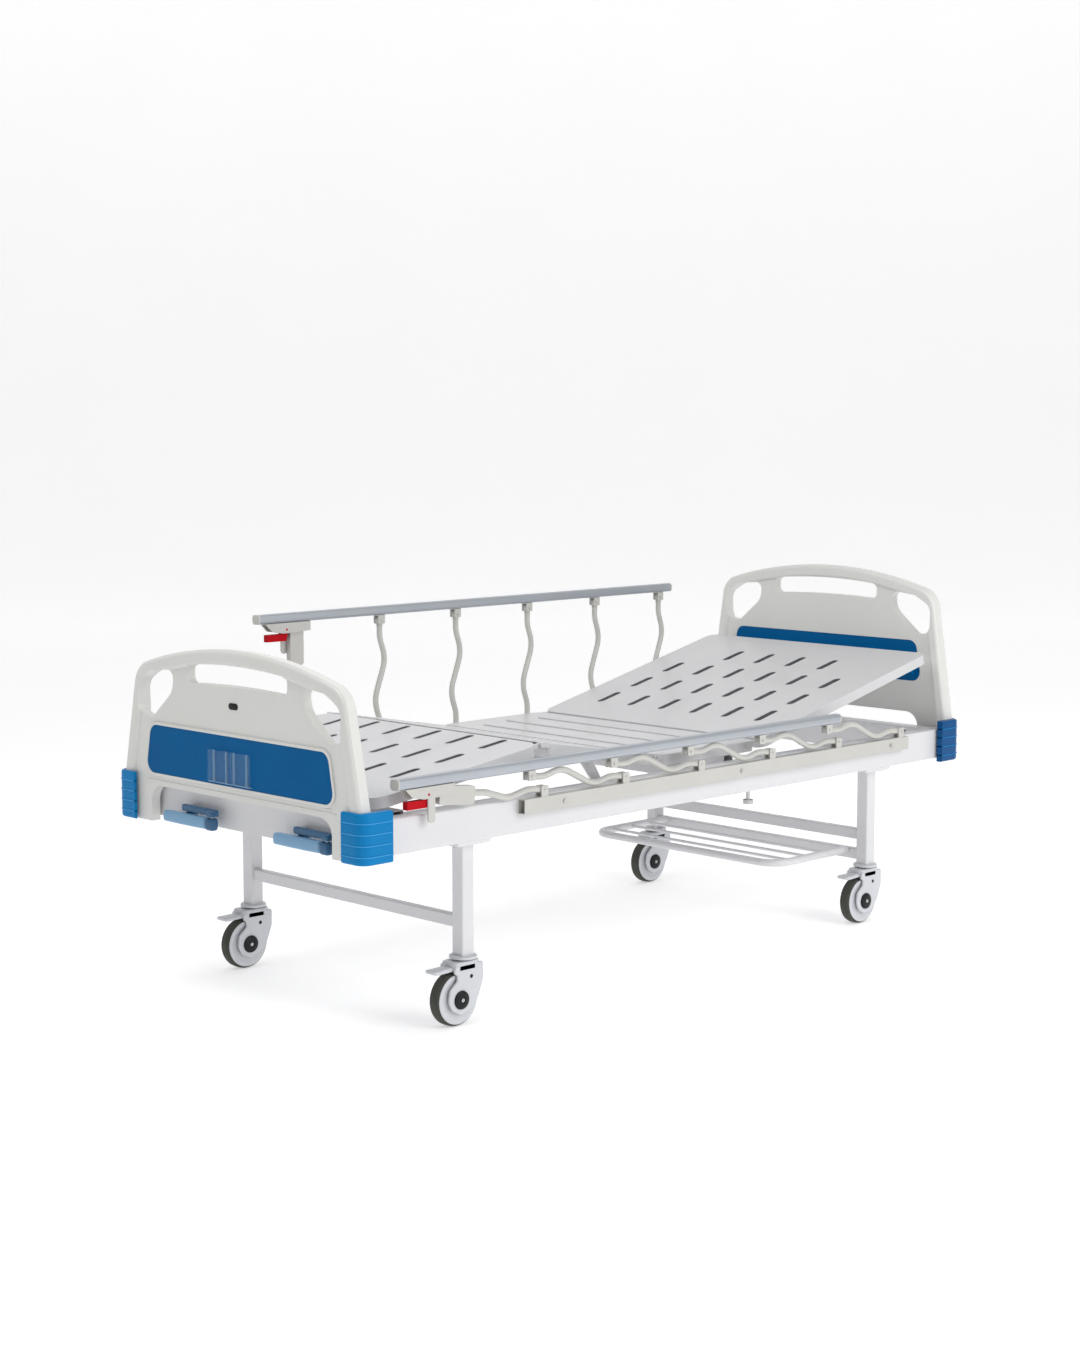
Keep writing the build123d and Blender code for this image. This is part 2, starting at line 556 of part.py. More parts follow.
LOWER_PIVOTS = [FIRST_PIVOT_X + k * PIVOT_PITCH for k in range(POSTS)]
pivot_pins = []
for side, name in ((NEAR, "near"), (FAR, "far")):
    planes = [post_plane(x, side) for x in LOWER_PIVOTS]
    uppers = [plane.from_local_coords((POST_L, 0, 0)) for plane in planes]
    upper_z = uppers[0].Z
    rail_top, rail_bottom = upper_z + RAIL_ABOVE, upper_z + RAIL_ABOVE - RAIL_TALL
    rail_foot = uppers[0].X - RAIL_BACK
    rail_mid_z = (rail_top + rail_bottom) / 2

    with BuildPart() as tube:
        with BuildSketch(Plane.YZ.offset(rail_foot)):
            with Locations((side * RAIL_Y, rail_mid_z)):
                RectangleRounded(RAIL_WIDE, RAIL_TALL, 8)
                RectangleRounded(RAIL_WIDE - 4, RAIL_TALL - 4, 6, mode=Mode.SUBTRACT)
        extrude(amount=RAIL_LONG)
    save(tube, f"{name}_rail_tube")

    with BuildPart() as fittings:
        for x, way in ((rail_foot, -1), (rail_foot + RAIL_LONG, 1)):
            with BuildSketch(Plane.YZ.offset(x)):
                with Locations((side * RAIL_Y, rail_mid_z)):
                    RectangleRounded(RAIL_WIDE, RAIL_TALL, 8)
            extrude(amount=way * 4)
        for upper in uppers[1:]:
            add(clevis(side, upper.X, upper_z, rail_bottom, 3).part)
        for upper in uppers:
            add(pin(upper.X, side * RAIL_Y, upper_z, 12.5).part)
    save(fittings, f"{name}_rail_fittings")

    with BuildPart() as housing:
        pivot = uppers[0]
        for inner, drop in ((9.0, 66.0 if side == FAR else 16.0), (-12.5, 16.0 if side == FAR else 66.0)):
            with BuildSketch(side_plane(pivot.X, side * RAIL_Y + inner + 3.5, pivot.Z)):
                with BuildLine():
                    Polyline((-112, 14), (30, 14), (30, -9), (-28, -12), (-60, -12), (-92, -6), close=True)
                make_face()
                if drop > 20:
                    with Locations((-38, -drop / 2)):
                        RectangleRounded(20, drop, 9)
                Circle(PIN_R + RUN, mode=Mode.SUBTRACT)
                with Locations((-46, -3)):
                    Circle(PIN_R + RUN, mode=Mode.SUBTRACT)
            extrude(amount=3.5)
        with Locations((pivot.X - 41, side * RAIL_Y, rail_bottom - 1)):
            Box(142, 25, 2)
    save(housing, f"{name}_lock_housing")

    with BuildPart() as lever:
        with BuildSketch(side_plane(pivot.X - 46, side * RAIL_Y + 7.5, pivot.Z - 3)):
            Circle(8)
            with BuildLine():
                Polyline((-58, -11), (-58, -29), (2, -29), (8, -3), (-8, 0), (-12, -11), close=True)
            make_face()
        extrude(amount=15)
        add(pin(pivot.X - 46, side * RAIL_Y, pivot.Z - 3, 12.4).part)
    save(lever, f"{name}_release_lever")

    save(lock_post(planes[0]), f"{name}_lock_post")
    for k in range(1, POSTS):
        save(rail_post(planes[k]), f"{name}_post_{k}")

    with BuildPart() as channel:
        with BuildSketch(Plane.YZ.offset(CHANNEL_X[0])):
            with Locations((side * (BEAM_OUTER + CHANNEL_DEEP / 2), CHANNEL_TOP - CHANNEL_TALL / 2)):
                Rectangle(CHANNEL_DEEP, CHANNEL_TALL)
                Rectangle(CHANNEL_DEEP - 4, CHANNEL_TALL - 4, mode=Mode.SUBTRACT)
        extrude(amount=CHANNEL_X[1] - CHANNEL_X[0])
        for x in LOWER_PIVOTS:
            add(clevis(side, x, PIVOT_Z, CHANNEL_TOP - 0.5, 2).part)
    save(channel, f"{name}_rail_channel")
    pivot_pins += [(x, side * RAIL_Y, PIVOT_Z, EAR_OUT + 1) for x in LOWER_PIVOTS]

pivot_pins += [(x, sign * 379, AXIS_Z, 8.0) for x in (BACK_X, THIGH_X) for sign in (NEAR, FAR)]
with BuildPart() as pins:
    for x, y, z, half in pivot_pins:
        add(pin(x, y, z, half).part)
save(pins, "pivot_pins")

# ---------------------------------------------------------------- cranks, screws and push tubes
COLLAR_X = -990.0
SCREW_TIP = -620.0
SHAFT_FACE = -1040.0
HUB_FACE = -1052.0
SPINDLE_R, SPINDLE_LONG = 6.0, 80.0  # the crank pulls out on this spindle
CRANK_Z = 458.0
GRIP_X = -1065.0


def round_bar(x0, x1, y, radius, bore=0.0):
    """A round bar or tube along X at the height of the screws."""
    with BuildPart() as bar:
        with BuildSketch(Plane(origin=(x0, y, SCREW_Z), z_dir=(1, 0, 0))):
            Circle(radius)
            if bore:
                Circle(bore, mode=Mode.SUBTRACT)
        extrude(amount=x1 - x0)
    return bar


def drive_nut(y, nut_x, eye_x):
    """The nut on a screw, its push tube and the eye, whose pin points to the lever on +Y."""
    with BuildPart() as nut:
        with Locations((nut_x, y, SCREW_Z)):
            Box(60, 40, 38)
            Cylinder(SCREW_R + 0.3, 70, rotation=(0, 90, 0), mode=Mode.SUBTRACT)
        add(round_bar(nut_x + 30, eye_x - 12, y, 13, 10.6).part)
        with Locations((eye_x, y, SCREW_Z)):
            Box(28, 26, 24)
        with BuildSketch(side_plane(eye_x, y + 23.5, SCREW_Z)):
            Circle(4)
        extrude(amount=12)
    return nut


def crank(y):
    """The pull-out crank: spindle, hub, arm and the lug with the grip's pin."""
    lug_y = y - GRIP_OFFSET
    with BuildPart() as arm:
        add(round_bar(HUB_FACE, SHAFT_FACE - 1.5, y, 12).part)
        add(round_bar(HUB_FACE, SHAFT_FACE + SPINDLE_LONG, y, SPINDLE_R).part)
        with Locations((HUB_FACE + 4.5, y - GRIP_OFFSET / 2, CRANK_Z)):
            Box(9, GRIP_OFFSET + 16, 16)
        with Locations((GRIP_X + 6.5, lug_y, CRANK_Z)):
            Box(31, 22, 16)
        with BuildSketch(Plane(origin=(GRIP_X, lug_y, CRANK_Z - 28), z_dir=(0, 0, 1))):
            Circle(4)
        extrude(amount=24)
    return arm


def grip(y):
    """The folding grip, stowed across the recess below the board."""
    lug_y = y - GRIP_OFFSET
    with BuildPart() as handle:
        with BuildSketch(Plane(origin=(GRIP_X, lug_y - 10, CRANK_Z - 22), z_dir=(0, 1, 0), x_dir=(1, 0, 0))):
            RectangleRounded(21, 24, 8)
        extrude(amount=GRIP_LONG)
        with BuildSketch(Plane(origin=(GRIP_X, lug_y, CRANK_Z - 38), z_dir=(0, 0, 1))):
            Circle(4 + RUN)
        extrude(amount=40, mode=Mode.SUBTRACT)
    return handle


back_psi = tan(radians(BACK_TILT - BACK_SWING / 2))
knee_psi = tan(radians(KNEE_SWING / 2 - THIGH_TILT))
DRIVES = (
    ("back", FAR * SCREW_Y, -745.0, BACK_X + ARM_DROP * back_psi),
    ("knee", NEAR * SCREW_Y, -800.0, THIGH_X + ARM_DROP * knee_psi),
)
for name, y, nut_x, eye_x in DRIVES:
    with BuildPart() as screw:
        add(round_bar(SHAFT_FACE, SCREW_TIP, y, SCREW_R).part)
        add(round_bar(COLLAR_X, COLLAR_X + 8, y, 17).part)
        add(round_bar(SHAFT_FACE, SHAFT_FACE + SPINDLE_LONG + 5, y, SPINDLE_R + RUN).part, mode=Mode.SUBTRACT)
    save(screw, f"{name}_screw")
    save(drive_nut(y, nut_x, eye_x), f"{name}_nut")
    save(crank(y), f"{name}_crank")
    save(grip(y), f"{name}_grip")

with BuildPart() as bearings:
    for sign in (NEAR, FAR):
        add(round_bar(-1036.5, -992, sign * SCREW_Y, BUSH_R, SCREW_R + RUN).part)
        add(round_bar(-1038.5, -1034, sign * SCREW_Y, 19, SCREW_R + RUN).part)
save(bearings, "screw_bearings")


# ---------------------------------------------------------------- latches and fixings
LATCH_FACE = WEB_IN - INLAY
with BuildPart() as latches:
    for sign in (NEAR, FAR):
        for drop, thick, long, wide in ((5, 5, 46, 26), (22, 17, 38, 18)):
            face = Plane(origin=(LATCH_FACE - drop, sign * 308, 655), x_dir=(0, 1, 0), z_dir=(1, 0, 0))
            with BuildSketch(face):
                with Locations(Location((0, 0), -sign * 35)):
                    SlotOverall(long, wide)
            extrude(amount=thick)
save(latches, "board_latches")

CHANNEL_SCREWS_X = (-476.0, 150.0, 765.0)
HOOK_X = 225.0
with BuildPart() as fixings:
    for sign in (NEAR, FAR):
        for x in CHANNEL_SCREWS_X:
            outside = sign * (BEAM_OUTER + CHANNEL_DEEP)
            with BuildSketch(side_plane(x, outside, CHANNEL_TOP - CHANNEL_TALL / 2)):
                Circle(5)
            extrude(amount=-sign * 3)
        for end in (FOOT, HEAD):
            for dx in (-38, 38):
                with BuildSketch(Plane.XY.offset(BEAM_BOTTOM - FLANGE - 5)):
                    with Locations((LEG_X[end] + dx, sign * (LEG_Y + 16))):
                        RegularPolygon(7, 6)
                extrude(amount=5)
        with BuildSketch(Plane.XY.offset(BEAM_BOTTOM - 24)):
            with Locations((HOOK_X, sign * BEAM_MID_Y)):
                Circle(5)
        extrude(amount=24)
        with BuildSketch(Plane.XY.offset(BEAM_BOTTOM - 34)):
            with Locations((HOOK_X, sign * BEAM_MID_Y)):
                Circle(13)
        extrude(amount=10)
save(fixings, "frame_fixings")


# ---------------------------------------------------------------- casters
def fork(x, y):
    """Caster fork: stem, swivel head, cowl, two cheeks and the axle."""
    with BuildPart() as body:
        for low, high, radius in ((156, 190, STEM_R), (148, 156, 32), (142, 148, 25)):
            with BuildSketch(Plane.XY.offset(low)):
                with Locations((x, y)):
                    Circle(radius)
            extrude(amount=high - low)
        with Locations((x + 4, y, 136)):
            Box(58, 50, 14)
        for cheek in (25.0, -19.5):
            with BuildSketch(side_plane(x, y + cheek, 0)):
                with BuildLine():
                    Polyline((33, 143), (-46, 143), (-52, 122), (-53, 66), (-7, 57), close=True)
                make_face()
                with Locations((-TRAIL, WHEEL_R)):
                    Circle(24)
                with Locations((PEDAL_X, PEDAL_Z)):
                    Circle(PIN_R + RUN, mode=Mode.SUBTRACT)
            extrude(amount=5.5)
        with BuildSketch(side_plane(x - TRAIL, y + 30, WHEEL_R)):
            Circle(AXLE_R)
        extrude(amount=60)
    return body


def wheel(x, y):
    """Disc and tyre, turning on the axle."""
    with BuildPart() as body:
        with BuildSketch(side_plane(x - TRAIL, y + DISC_WIDE / 2, WHEEL_R)):
            Circle(DISC_R)
            Circle(AXLE_R + RUN, mode=Mode.SUBTRACT)
        extrude(amount=DISC_WIDE)
        with BuildSketch(side_plane(x - TRAIL, y + TYRE_WIDE / 2, WHEEL_R)):
            Circle(WHEEL_R)
            Circle(DISC_R + 0.1, mode=Mode.SUBTRACT)
        extrude(amount=TYRE_WIDE)
        rounds = body.edges().filter_by(GeomType.CIRCLE)
        fillet(rounds.filter_by(lambda edge: abs(edge.radius - WHEEL_R) < 0.01), 7)
    return body


def pedal(x, y):
    """Brake pedal: a flat paddle on its own pivot stubs."""
    with BuildPart() as body:
        with BuildSketch(side_plane(x + PEDAL_X, y + 17, PEDAL_Z)):
            Circle(5)
            with BuildLine():
                Polyline((0, 4), (0, -3), (-52, -5), (-62, -1), (-60, 3), (-44, 5), close=True)
            make_face()
        extrude(amount=34)
        add(pin(x + PEDAL_X, y, PEDAL_Z, 24.5).part)
    return body


for end, end_name in ((FOOT, "foot"), (HEAD, "head")):
    for side, side_name in ((NEAR, "near"), (FAR, "far")):
        x, y = LEG_X[end], side * LEG_Y
        for make, kind in ((fork, "fork"), (wheel, "wheel"), (pedal, "pedal")):
            save(make(x, y), f"{side_name}_{end_name}_caster_{kind}")
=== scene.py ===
"""The looks of an adjustable two-crank hospital bed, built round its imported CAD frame."""

import json
import math

import bmesh
import bpy
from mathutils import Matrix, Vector


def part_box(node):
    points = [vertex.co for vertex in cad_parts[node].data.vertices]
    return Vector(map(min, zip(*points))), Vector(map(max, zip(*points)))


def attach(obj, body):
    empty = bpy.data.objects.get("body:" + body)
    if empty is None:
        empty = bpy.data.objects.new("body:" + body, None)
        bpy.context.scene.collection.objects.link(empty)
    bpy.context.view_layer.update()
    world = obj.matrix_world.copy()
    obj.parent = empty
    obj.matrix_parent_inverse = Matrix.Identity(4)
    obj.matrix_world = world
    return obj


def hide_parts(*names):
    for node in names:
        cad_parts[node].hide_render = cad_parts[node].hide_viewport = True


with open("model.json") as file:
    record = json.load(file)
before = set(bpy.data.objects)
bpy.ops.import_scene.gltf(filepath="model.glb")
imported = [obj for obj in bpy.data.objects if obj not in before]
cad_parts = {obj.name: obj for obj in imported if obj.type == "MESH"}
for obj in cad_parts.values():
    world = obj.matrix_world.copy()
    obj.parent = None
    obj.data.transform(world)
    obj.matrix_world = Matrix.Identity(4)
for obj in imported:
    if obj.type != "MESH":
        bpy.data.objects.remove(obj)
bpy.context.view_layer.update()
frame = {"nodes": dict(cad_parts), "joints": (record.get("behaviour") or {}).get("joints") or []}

MM = 0.001
NODES = frame["nodes"]
NEAR, FAR = -1, 1
FOOT, HEAD = -1, 1
JOINTS = {joint["name"]: joint for joint in frame["joints"]}
SLOT_PITCH_X, SLOT_PITCH_Y, AXIS_DROP = 0.137, 0.1126, 0.006
SLOT_FAR_Y = 2.5 * SLOT_PITCH_Y
BACK_LENGTH, THIGH_LENGTH, CALF_LENGTH = 0.735, 0.396, 0.520


# ---------------------------------------------------------------- node helpers
def linear(hex_colour):
    """An sRGB hex colour as the linear RGBA that shaders take."""
    parts = [int(hex_colour[i : i + 2], 16) / 255 for i in (1, 3, 5)]
    return [c / 12.92 if c <= 0.04045 else ((c + 0.055) / 1.055) ** 2.4 for c in parts] + [1.0]


def add(tree, kind, links=None, **settings):
    """Adds a node; settings are its properties or its input defaults, links its input sources."""
    made = tree.nodes.new(kind)
    for key, value in settings.items():
        if hasattr(made, key):
            setattr(made, key, value)
        else:
            made.inputs[key.replace("_", " ")].default_value = value
    for socket, source in (links or {}).items():
        tree.links.new(source, made.inputs[socket])
    return made


def start_material(name, roughness, metallic=0.0, coat=0.0, ior=None, specular=0.5):
    """A new material with its uniform values set on the shader itself."""
    material = bpy.data.materials.new(name)
    material.use_nodes = True
    tree = material.node_tree
    shader = tree.nodes["Principled BSDF"]
    shader.inputs["Roughness"].default_value = roughness
    shader.inputs["Metallic"].default_value = metallic
    shader.inputs["Coat Weight"].default_value = coat
    shader.inputs["Specular IOR Level"].default_value = specular
    if ior:
        shader.inputs["IOR"].default_value = ior
    return material, tree, shader


def mottle(tree, shader, colours, size_mm, detail=3.0):
    """Drives the base colour between two close tones in soft patches of the given size."""
    place = add(tree, "ShaderNodeTexCoord")
    sources = {"Vector": place.outputs["Object"]}
    noise = add(tree, "ShaderNodeTexNoise", sources, Scale=1 / (size_mm * MM), Detail=detail)
    blend = add(tree, "ShaderNodeMix", {"Factor": noise.outputs["Fac"]}, data_type="RGBA")
    blend.inputs["A"].default_value = linear(colours[0])
    blend.inputs["B"].default_value = linear(colours[1])
    tree.links.new(blend.outputs["Result"], shader.inputs["Base Color"])
    return place


def grain(tree, shader, place, size_mm, height_mm, roughness):
    """A fine bump of the given grain size, which also varies the roughness a little."""
    sources = {"Vector": place.outputs["Object"]}
    fine = add(tree, "ShaderNodeTexNoise", sources, Scale=1 / (size_mm * MM), Detail=2.0)
    bump = add(tree, "ShaderNodeBump", {"Height": fine.outputs["Fac"]}, Strength=1.0, Distance=height_mm * MM)
    tree.links.new(bump.outputs["Normal"], shader.inputs["Normal"])
    spread = add(tree, "ShaderNodeMapRange", {"Value": fine.outputs["Fac"]})
    spread.inputs["To Min"].default_value = roughness[0]
    spread.inputs["To Max"].default_value = roughness[1]
    tree.links.new(spread.outputs["Result"], shader.inputs["Roughness"])


def blow_moulded_abs(name, tones, specular=0.5):
    """Blow-moulded ABS: even, satin, with a faint orange-peel skin from the mould."""
    material, tree, shader = start_material(name, 0.36, ior=1.53, specular=specular)
    place = mottle(tree, shader, tones, 160)
    grain(tree, shader, place, 5, 0.035, (0.30, 0.42))
    return material


def powder_coat(name, tones, gloss=0.38):
    """Polyester powder coat on steel: its ripple, drawn at 4 mm to show, breaks up highlights."""
    material, tree, shader = start_material(name, gloss, coat=0.15, ior=1.5)
    place = mottle(tree, shader, tones, 120)
    grain(tree, shader, place, 4, 0.03, (gloss - 0.06, gloss + 0.08))
    return material


def satin_inlay(name, tones):
    """Pigmented ABS inlay with a silk finish: deep colour, low glare, a very flat skin."""
    material, tree, shader = start_material(name, 0.38, ior=1.49, specular=0.06)
    place = mottle(tree, shader, tones, 90)
    grain(tree, shader, place, 7, 0.02, (0.34, 0.46))
    return material


def thermoplastic_rubber(name, tones):
    """Grey TPR tread: matt, a little dusty, with a fine moulded texture."""
    material, tree, shader = start_material(name, 0.75, ior=1.52)
    place = mottle(tree, shader, tones, 12, 4.0)
    grain(tree, shader, place, 2.5, 0.12, (0.62, 0.85))
    return material


def zinc_plate(name, tones, roughness=0.32):
    """Bright zinc-plated steel: metallic, with cloudy patches from the plating."""
    material, tree, shader = start_material(name, roughness, metallic=1.0)
    place = mottle(tree, shader, tones, 14)
    grain(tree, shader, place, 2, 0.02, (roughness - 0.08, roughness + 0.12))
    return material


def brushed_anodised(name, tones):
    """Anodised aluminium tube drawn along X: fine lengthwise lines, stretched 60 to 1, 3 mm apart to show."""
    material, tree, shader = start_material(name, 0.34, metallic=0.55)
    place = mottle(tree, shader, tones, 200)
    stretch = add(tree, "ShaderNodeMapping", {"Vector": place.outputs["Object"]})
    stretch.inputs["Scale"].default_value = (1 / 60, 1.0, 1.0)
    sources = {"Vector": stretch.outputs["Vector"]}
    lines = add(tree, "ShaderNodeTexNoise", sources, Scale=1 / (3 * MM), Detail=2.0)
    bump = add(tree, "ShaderNodeBump", {"Height": lines.outputs["Fac"]}, Strength=1.0, Distance=0.02 * MM)
    tree.links.new(bump.outputs["Normal"], shader.inputs["Normal"])
    return material


def clear_acrylic(name, tones, opacity):
    """Clear acrylic of a card pocket: the wall is almost invisible, its polished edges catch the light."""
    material, tree, shader = start_material(name, 0.15, ior=1.49)
    mottle(tree, shader, tones, 60)
    shader.inputs["Alpha"].default_value = opacity
    return material


ABS_WHITE = blow_moulded_abs("blow_moulded_abs_off_white", ("#dcdcd9", "#d6d6d2"))
INLAY_BLUE = satin_inlay("abs_inlay_blue", ("#005f99", "#00558b"))
BUMPER_BLUE = blow_moulded_abs("moulded_bumper_bright_blue", ("#087fbe", "#0476b2"), 0.12)
# Lighter blue for the bumper ribs: a painted highlight along each ridge.
RIB_PAINTED_HIGHLIGHT_BLUE = blow_moulded_abs("bumper_rib_painted_highlight_blue", ("#3fa3dd", "#3096d3"), 0.3)
BUMPER_DEEP = blow_moulded_abs("moulded_bumper_deep_blue", ("#0c4f86", "#0a487b"), 0.12)
CRANK_BLUE = blow_moulded_abs("moulded_grip_pale_blue", ("#7ba6c8", "#7099bb"), 0.4)
CRANK_DARK = blow_moulded_abs("moulded_crank_slate_blue", ("#2f5f86", "#28557a"), 0.4)
FRAME_COAT = powder_coat("powder_coat_cool_white", ("#dadadc", "#d3d3d6"))
DECK_COAT = powder_coat("powder_coat_deck_light_grey", ("#cfcfd0", "#c7c7c9"))
# Dark grey for the slot walls: painted shade, standing in for the dark under the deck seen through the slots.
SLOT_WALL_PAINTED_SHADE = powder_coat("slot_wall_painted_shade", ("#55565a", "#45464a"), 0.6)
RAIL_COAT = powder_coat("powder_coat_warm_ivory", ("#c5c4bf", "#bbbab5"))
RAIL_TUBE = brushed_anodised("brushed_anodised_tube", ("#b4b9bf", "#a8adb4"))
LEVER_RED = satin_inlay("moulded_lever_red", ("#bf1420", "#aa0f1a"))
TREAD = thermoplastic_rubber("tpr_tread_grey", ("#45473f", "#35372f"))
CASTER_NYLON = blow_moulded_abs("moulded_nylon_cool_grey", ("#cfd1d5", "#c4c6ca"))
BLACK_NYLON = blow_moulded_abs("moulded_nylon_black", ("#121417", "#0b0c0e"), 0.25)
ZINC = zinc_plate("zinc_plate_bright", ("#c9c9c6", "#b3b4b2"))
STEEL = zinc_plate("turned_steel_shaft", ("#9c9d9e", "#84868a"), 0.38)
POCKET = clear_acrylic("clear_acrylic_wall", ("#c9dbe8", "#b5cfe2"), 0.05)
POCKET_EDGE = clear_acrylic("clear_acrylic_edge", ("#9fc4de", "#8ab6d6"), 0.55)

LOOKS = {
    "near_side_beam": FRAME_COAT,
    "far_side_beam": FRAME_COAT,
    "cross_members": FRAME_COAT,
    "foot_leg_frame": FRAME_COAT,
    "head_leg_frame": FRAME_COAT,
    "storage_rack": FRAME_COAT,
    "foot_board": ABS_WHITE,
    "head_board": ABS_WHITE,
    "board_panels": INLAY_BLUE,
    "board_latches": INLAY_BLUE,
    "corner_bumpers": BUMPER_BLUE,
    "seat_section": DECK_COAT,
    "back_section": DECK_COAT,
    "thigh_section": DECK_COAT,
    "calf_section": DECK_COAT,
    "pivot_pins": ZINC,
    "frame_fixings": ZINC,
    "screw_bearings": CASTER_NYLON,
}


def look_of(name):
    """The material of a CAD node, by its own name or by what its name says it is."""
    if name in LOOKS:
        return LOOKS[name]
    for part, material in (
        ("caster_wheel", TREAD),
        ("caster", CASTER_NYLON),
        ("release", LEVER_RED),
        ("rail_tube", RAIL_TUBE),
        ("post", RAIL_COAT),
        ("rail_", RAIL_COAT),
        ("housing", RAIL_COAT),
        ("crank", CRANK_DARK),
        ("grip", CRANK_BLUE),
        ("screw", STEEL),
        ("nut", FRAME_COAT),
    ):
        if part in name:
            return material
    return FRAME_COAT


for name, node in NODES.items():
    node.data.materials.clear()
    node.data.materials.append(look_of(name))


# ---------------------------------------------------------------- mesh helpers
def place_piece(name, mesh, body, sharp):
    """Puts a mesh in the scene, smooth but for its sharp edges, riding on a body."""
    mesh.polygons.foreach_set("use_smooth", [True] * len(mesh.polygons))
    mesh.set_sharp_from_angle(angle=math.radians(sharp))
    piece = bpy.data.objects.new(name, mesh)
    bpy.context.scene.collection.objects.link(piece)
    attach(piece, body)
    return piece


def finish_piece(name, shells, body, replaces=()):
    """One piece from (bmesh, material) shells, in place of the CAD nodes it replaces."""
    joined = bmesh.new()
    materials = []
    for shell, material in shells:
        if material not in materials:
            materials.append(material)
        index = materials.index(material)
        bmesh.ops.recalc_face_normals(shell, faces=shell.faces)
        for face in shell.faces:
            face.material_index = index
        part = bpy.data.meshes.new("shell")
        shell.to_mesh(part)
        shell.free()
        joined.from_mesh(part)
        bpy.data.meshes.remove(part)
    mesh = bpy.data.meshes.new(name)
    joined.to_mesh(mesh)
    joined.free()
    for material in materials:
        mesh.materials.append(material)
    piece = place_piece(name, mesh, body, 35)
    if replaces:
        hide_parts(*replaces)


def loft(rings, closed=False):
    """A skin through rings of equal length; closed joins the last ring to the first."""
    shell = bmesh.new()
    rows = [[shell.verts.new(p) for p in ring] for ring in rings]
    pairs = list(zip(rows, rows[1:])) + ([(rows[-1], rows[0])] if closed else [])
    for low, high in pairs:
        count = len(low)
        for i in range(count):
            j = (i + 1) % count
            shell.faces.new((low[i], low[j], high[j], high[i]))
    if not closed:
        shell.faces.new(rows[0][::-1])
        shell.faces.new(rows[-1])
    return shell


def lathe(profile, centre, axis, closed=False, segments=64):
    """Turns (radius, height) pairs about an axis through centre."""
    rings = []
    for radius, height in profile:
        ring = []
        for i in range(segments):
            a = 2 * math.pi * i / segments
            u, v = radius * math.cos(a), radius * math.sin(a)
            place = {"X": (height, u, v), "Y": (u, height, v), "Z": (u, v, height)}[axis]
            ring.append(Vector(centre) + Vector(place) * MM)
        rings.append(ring)
    return loft(rings, closed=closed)


def plate(outline, origin, u, v, depth, bevel=0.0, segments=3):
    """A flat plate: an outline along u and v from origin, depth thick along u x v, edges rounded."""
    u, v = Vector(u), Vector(v)
    n = u.cross(v)
    shell = bmesh.new()
    base = [shell.verts.new(Vector(origin) + (u * a + v * b) * MM) for a, b in outline]
    face = shell.faces.new(base)
    out = bmesh.ops.extrude_face_region(shell, geom=[face])
    moved = [g for g in out["geom"] if isinstance(g, bmesh.types.BMVert)]
    bmesh.ops.translate(shell, verts=moved, vec=n * depth * MM)
    bmesh.ops.recalc_face_normals(shell, faces=shell.faces)
    if bevel:
        rims = [e for e in shell.edges if e.calc_face_angle(0) > math.radians(40)]
        size = bevel * MM
        bmesh.ops.bevel(
            shell, geom=rims, offset=size, segments=segments, profile=0.5, affect="EDGES", clamp_overlap=True
        )
    return shell


def rounded(points, radii, steps=6):
    """An outline whose corners are arcs of the given radii."""
    out = []
    count = len(points)
    for i, (point, radius) in enumerate(zip(points, radii)):
        p = Vector(point)
        a = (Vector(points[i - 1]) - p).normalized()
        b = (Vector(points[(i + 1) % count]) - p).normalized()
        half = a.angle(b) / 2
        if radius <= 0 or half > math.radians(89):
            out.append(tuple(p))
            continue
        reach = radius / math.tan(half)
        start, end = p + a * reach, p + b * reach
        for k in range(steps + 1):
            t = k / steps
            out.append(tuple(start * (1 - t) ** 2 + p * 2 * t * (1 - t) + end * t * t))
    return out


def stadium(length, width, steps=10):
    """A slot outline with round ends, centred on the origin."""
    r = width / 2
    out = []
    for side in (1, -1):
        for k in range(steps + 1):
            a = -math.pi / 2 + math.pi * k / steps
            out.append((side * (length / 2 - r + r * math.cos(a)), side * r * math.sin(a)))
    return out


def strip(path, width, height, along, up):
    """A low rounded ridge that follows a path, width across and height proud along up."""
    up = Vector(up)
    rings = []
    for i, point in enumerate(path):
        ahead = Vector(path[min(i + 1, len(path) - 1)]) - Vector(path[max(i - 1, 0)])
        side = ahead.normalized().cross(up)
        ring = []
        for k in range(9):
            a = math.pi * k / 8
            across, rise = math.cos(a) * width / 2 * MM, math.sin(a) * height * MM
            ring.append(Vector(point) + side * across + up * rise)
        rings.append(ring)
    return loft(rings)


# ---------------------------------------------------------------- corner bumpers
BUMPER_CORNER, BUMPER_RIB = 0.030, 0.0016  # the corner's radius, and how proud a rib stands
BUMPER_RIBS = (0.018, 0.042, 0.066, 0.090)  # heights above the bumper's foot


def bumper_skin(end, sign, levels):
    """A closed L-shaped skin round a corner; levels are (height above its foot, inset)."""
    low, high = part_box("corner_bumpers")
    tip, side = end * high.x, sign * high.y
    inner_x, inner_y = end * (high.x - 0.0095), sign * (high.y - 0.0195)
    start_y, stop_x = sign * 0.378, end * (high.x - 0.088)
    cx, cy = tip - end * BUMPER_CORNER, side - sign * BUMPER_CORNER
    rings = []
    for rise, inset in levels:
        outer = [(tip - end * inset, start_y)]
        for k in range(13):
            a = math.pi / 2 * k / 12
            r = BUMPER_CORNER - inset
            outer.append((cx + end * r * math.cos(a), cy + sign * r * math.sin(a)))
        outer.append((stop_x, side - sign * inset))
        inner = [(stop_x, inner_y), (inner_x, inner_y), (inner_x, start_y)]
        rings.append([Vector((x, y, low.z + rise)) for x, y in outer + inner])
    return loft(rings)


